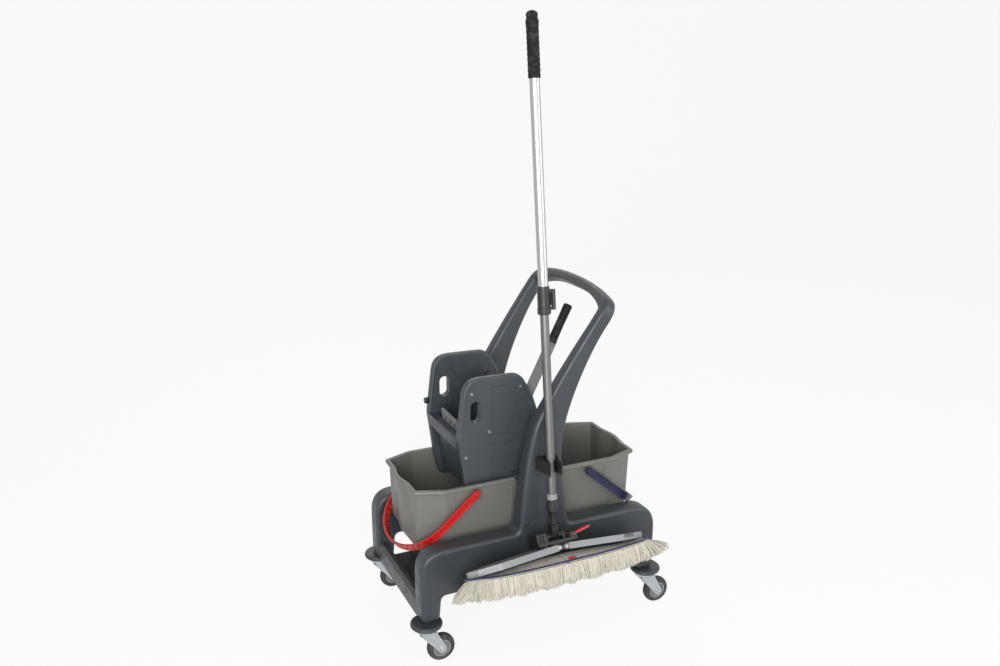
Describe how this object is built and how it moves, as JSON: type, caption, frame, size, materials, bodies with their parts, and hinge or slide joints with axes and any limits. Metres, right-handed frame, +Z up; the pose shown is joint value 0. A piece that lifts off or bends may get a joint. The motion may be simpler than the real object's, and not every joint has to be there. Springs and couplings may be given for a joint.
{
  "type": "mop bucket trolley",
  "caption": "Mopping trolley on castors: moulded chassis with a push handle, lift-out buckets with bails, a lever press wringer and a folding flat mop on a telescopic pole.",
  "frame": {"origin": "on the floor, in the middle between the four castor axes", "axes": "+X towards the push handle, -Y towards the side where the mop is parked, +Z up"},
  "size_m": [0.7774, 0.5979, 1.6118],
  "materials": {
    "chassis_plastic": "moulded, satin grain",
    "wringer_plastic": "moulded, satin grain",
    "bucket_plastic": "moulded, satin",
    "zinc": "zinc plated",
    "tyre": "smooth tread",
    "hub_plastic": "moulded",
    "red_plastic": "moulded, gloss",
    "blue_plastic": "moulded, gloss",
    "plate_plastic": "moulded",
    "lever_paint": "powder coated",
    "black_plastic": "moulded",
    "grip_rubber": "ribbed",
    "tube_aluminium": "drawn, satin",
    "wing_plastic": "moulded",
    "latch_plastic": "moulded",
    "pedal_plastic": "moulded",
    "cotton": "looped cotton"
  },
  "bodies": {
    "chassis": {"near_side_panel": "chassis_plastic", "far_side_panel": "chassis_plastic", "push_handle": "chassis_plastic", "base_deck": "chassis_plastic", "front_cross_bar": "chassis_plastic", "rear_cross_bar": "chassis_plastic", "corner_bumpers": "chassis_plastic", "castor_stems": "zinc", "frame_screws": "zinc", "pole_clip": "black_plastic"},
    "castor_front_near": {"fork_front_near": "zinc", "axle_front_near": "zinc"},
    "wheel_front_near": {"hub_front_near": "hub_plastic", "tyre_front_near": "tyre"},
    "castor_front_far": {"fork_front_far": "zinc", "axle_front_far": "zinc"},
    "wheel_front_far": {"hub_front_far": "hub_plastic", "tyre_front_far": "tyre"},
    "castor_rear_near": {"fork_rear_near": "zinc", "axle_rear_near": "zinc"},
    "wheel_rear_near": {"hub_rear_near": "hub_plastic", "tyre_rear_near": "tyre"},
    "castor_rear_far": {"fork_rear_far": "zinc", "axle_rear_far": "zinc"},
    "wheel_rear_far": {"hub_rear_far": "hub_plastic", "tyre_rear_far": "tyre"},
    "front_bucket": {"front_bucket": "bucket_plastic"},
    "rear_bucket": {"rear_bucket": "bucket_plastic"},
    "red_bail": {"red_bail": "red_plastic"},
    "blue_bail": {"blue_bail": "blue_plastic"},
    "wringer": {"near_cheek": "wringer_plastic", "far_cheek": "wringer_plastic", "front_wall": "wringer_plastic", "drain_grid": "plate_plastic", "rear_brace": "wringer_plastic", "wringer_screws": "zinc", "cheek_buffer": "black_plastic", "plate_pin": "zinc"},
    "press_plate": {"press_plate": "plate_plastic"},
    "lever": {"lever_shaft": "zinc", "lever_bar": "lever_paint", "lever_grip": "grip_rubber"},
    "mop_pole": {"lower_tube": "tube_aluminium", "pole_ferrule": "wing_plastic", "mop_socket": "black_plastic"},
    "upper_pole": {"upper_tube": "tube_aluminium", "pole_grip": "grip_rubber", "clamp_sleeve": "black_plastic"},
    "clamp_lever": {"clamp_lever": "black_plastic"},
    "joint_yoke": {"joint_yoke": "black_plastic"},
    "mop_hub": {"mop_hub": "black_plastic", "wing_pins": "zinc"},
    "left_wing": {"left_wing": "wing_plastic", "left_mop_pad": "cotton", "left_mop_fringe": "cotton"},
    "right_wing": {"right_wing": "wing_plastic", "wing_latch": "latch_plastic", "right_mop_pad": "cotton", "right_mop_fringe": "cotton"},
    "foot_pedal": {"foot_pedal": "pedal_plastic"}
  },
  "joints": [
    {"name": "swivel_front_near", "type": "hinge", "parent": "chassis", "child": "castor_front_near", "pos_m": [-0.33, -0.1945, 0.097], "axis": [0, 0, 1], "continuous": true},
    {"name": "roll_front_near", "type": "hinge", "parent": "castor_front_near", "child": "wheel_front_near", "pos_m": [-0.292, -0.1945, 0.0375], "axis": [0, 1, 0], "continuous": true},
    {"name": "swivel_front_far", "type": "hinge", "parent": "chassis", "child": "castor_front_far", "pos_m": [-0.33, 0.1945, 0.097], "axis": [0, 0, 1], "continuous": true},
    {"name": "roll_front_far", "type": "hinge", "parent": "castor_front_far", "child": "wheel_front_far", "pos_m": [-0.292, 0.1945, 0.0375], "axis": [0, 1, 0], "continuous": true},
    {"name": "swivel_rear_near", "type": "hinge", "parent": "chassis", "child": "castor_rear_near", "pos_m": [0.33, -0.1945, 0.097], "axis": [0, 0, 1], "continuous": true},
    {"name": "roll_rear_near", "type": "hinge", "parent": "castor_rear_near", "child": "wheel_rear_near", "pos_m": [0.368, -0.1945, 0.0375], "axis": [0, 1, 0], "continuous": true},
    {"name": "swivel_rear_far", "type": "hinge", "parent": "chassis", "child": "castor_rear_far", "pos_m": [0.33, 0.1945, 0.097], "axis": [0, 0, 1], "continuous": true},
    {"name": "roll_rear_far", "type": "hinge", "parent": "castor_rear_far", "child": "wheel_rear_far", "pos_m": [0.368, 0.1945, 0.0375], "axis": [0, 1, 0], "continuous": true},
    {"name": "front_bucket_lift", "type": "slide", "parent": "chassis", "child": "front_bucket", "axis": [-0.7071, 0, 0.7071], "range_m": [0, 0.3]},
    {"name": "rear_bucket_lift", "type": "slide", "parent": "chassis", "child": "rear_bucket", "axis": [0.7071, 0, 0.7071], "range_m": [0, 0.3]},
    {"name": "red_bail_swing", "type": "hinge", "parent": "front_bucket", "child": "red_bail", "pos_m": [-0.166, 0, 0.4243], "axis": [0, 1, 0], "range_deg": [0, 105]},
    {"name": "blue_bail_swing", "type": "hinge", "parent": "rear_bucket", "child": "blue_bail", "pos_m": [0.166, 0, 0.4243], "axis": [0, -1, 0], "range_deg": [0, 105]},
    {"name": "wringer_lift", "type": "slide", "parent": "front_bucket", "child": "wringer", "axis": [0, 0, 1], "range_m": [0, 0.25]},
    {"name": "lever_pull", "type": "hinge", "parent": "wringer", "child": "lever", "pos_m": [-0.016, 0, 0.6053], "axis": [0, -1, 0], "range_deg": [0, 70]},
    {"name": "plate_press", "type": "hinge", "parent": "wringer", "child": "press_plate", "pos_m": [-0.05, 0, 0.4243], "axis": [0, -1, 0], "range_deg": [0, 9]},
    {"name": "mop_release", "type": "slide", "parent": "chassis", "child": "mop_pole", "axis": [0, -1, 0], "range_m": [0, 0.3]},
    {"name": "telescope", "type": "slide", "parent": "mop_pole", "child": "upper_pole", "axis": [0, 0.1191, 0.9929], "range_m": [-0.15, 0.15]},
    {"name": "clamp_open", "type": "hinge", "parent": "upper_pole", "child": "clamp_lever", "pos_m": [0.01798, -0.20585, 0.92239], "axis": [0, 0.1191, 0.9929], "range_deg": [-110, 0]},
    {"name": "head_roll", "type": "hinge", "parent": "mop_pole", "child": "joint_yoke", "pos_m": [-0.002, -0.26057, 0.34883], "axis": [0, 0.9929, -0.1191], "range_deg": [-30, 30], "deforming": ["left_mop_pad", "left_mop_fringe", "right_mop_pad", "right_mop_fringe"]},
    {"name": "head_tilt", "type": "hinge", "parent": "joint_yoke", "child": "mop_hub", "pos_m": [-0.002, -0.26343, 0.325], "axis": [1, 0, 0], "range_deg": [-27, 10], "deforming": ["left_mop_pad", "left_mop_fringe", "right_mop_pad", "right_mop_fringe"]},
    {"name": "left_wing_fold", "type": "hinge", "parent": "mop_hub", "child": "left_wing", "pos_m": [-0.012, -0.27893, 0.29815], "axis": [0, 0.866, -0.5], "range_deg": [-80, 0], "deforming": ["left_mop_pad", "left_mop_fringe"]},
    {"name": "right_wing_fold", "type": "hinge", "parent": "mop_hub", "child": "right_wing", "pos_m": [0.008, -0.27893, 0.29815], "axis": [0, 0.866, -0.5], "range_deg": [0, 80], "deforming": ["right_mop_pad", "right_mop_fringe"]},
    {"name": "pedal_press", "type": "hinge", "parent": "mop_hub", "child": "foot_pedal", "pos_m": [0.048, -0.26643, 0.3198], "axis": [0, 0.866, -0.5], "range_deg": [0, 8], "stiffness_Nm_per_rad": 0.2}
  ],
  "couplings": [
    {"joint": "plate_press", "follows": "lever_pull", "ratio": 0.12857}
  ]
}
